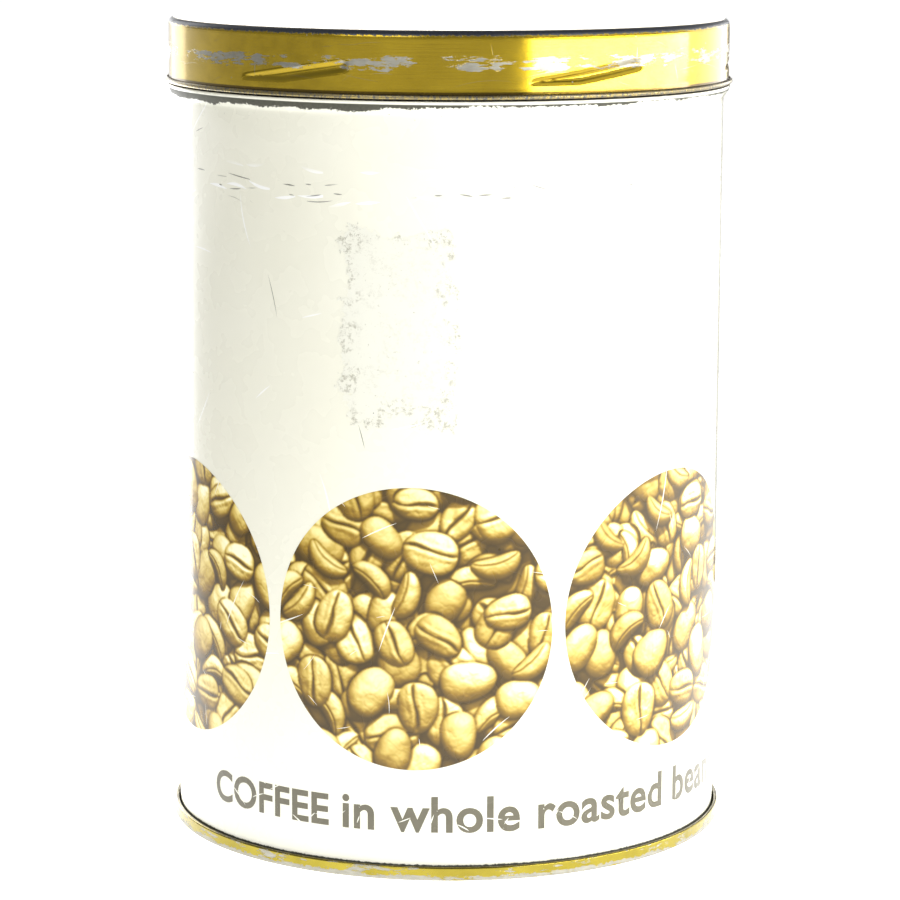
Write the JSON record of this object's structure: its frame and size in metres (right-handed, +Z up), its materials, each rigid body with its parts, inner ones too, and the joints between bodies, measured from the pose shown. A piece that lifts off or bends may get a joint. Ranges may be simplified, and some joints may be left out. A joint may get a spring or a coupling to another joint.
{
  "type": "coffee tin",
  "caption": "Tall round tinplate storage tin with a double-seamed base and a gold screw-on lid, printed with round panels of coffee beans.",
  "frame": {"origin": "centre of the base, on the surface that the tin stands on", "axes": "+Z up along the tin's axis, -Y towards the front of the print, +X to the right seen from the front"},
  "size_m": [0.131, 0.131, 0.1874],
  "materials": {
    "cream_lithograph": "satin lithographed enamel on tinplate",
    "solder": "dull solder",
    "gold_lacquer_bottom": "worn gold lacquer on tinplate",
    "sealing_compound": "matt",
    "gold_lacquer_lid": "glossy gold lacquer on tinplate, scuffed",
    "pulpboard": "uncoated"
  },
  "bodies": {
    "tin": {"body_shell": "cream_lithograph", "side_seam_solder": "solder", "bottom_end": "gold_lacquer_bottom", "bottom_sealing_ring": "sealing_compound"},
    "liner": {"lid_liner": "pulpboard"},
    "lid": {"lid_shell": "gold_lacquer_lid"}
  },
  "joints": [
    {"name": "lid_rise", "type": "slide", "parent": "tin", "child": "liner", "axis": [0, 0, 1], "range_m": [0, 0.0466]},
    {"name": "lid_turn", "type": "hinge", "parent": "liner", "child": "lid", "pos_m": [0, 0, 0.18], "axis": [0, 0, 1], "range_deg": [0, 270]}
  ],
  "couplings": [
    {"joint": "lid_rise", "follows": "lid_turn", "m_per_rad": 0.0098676}
  ]
}
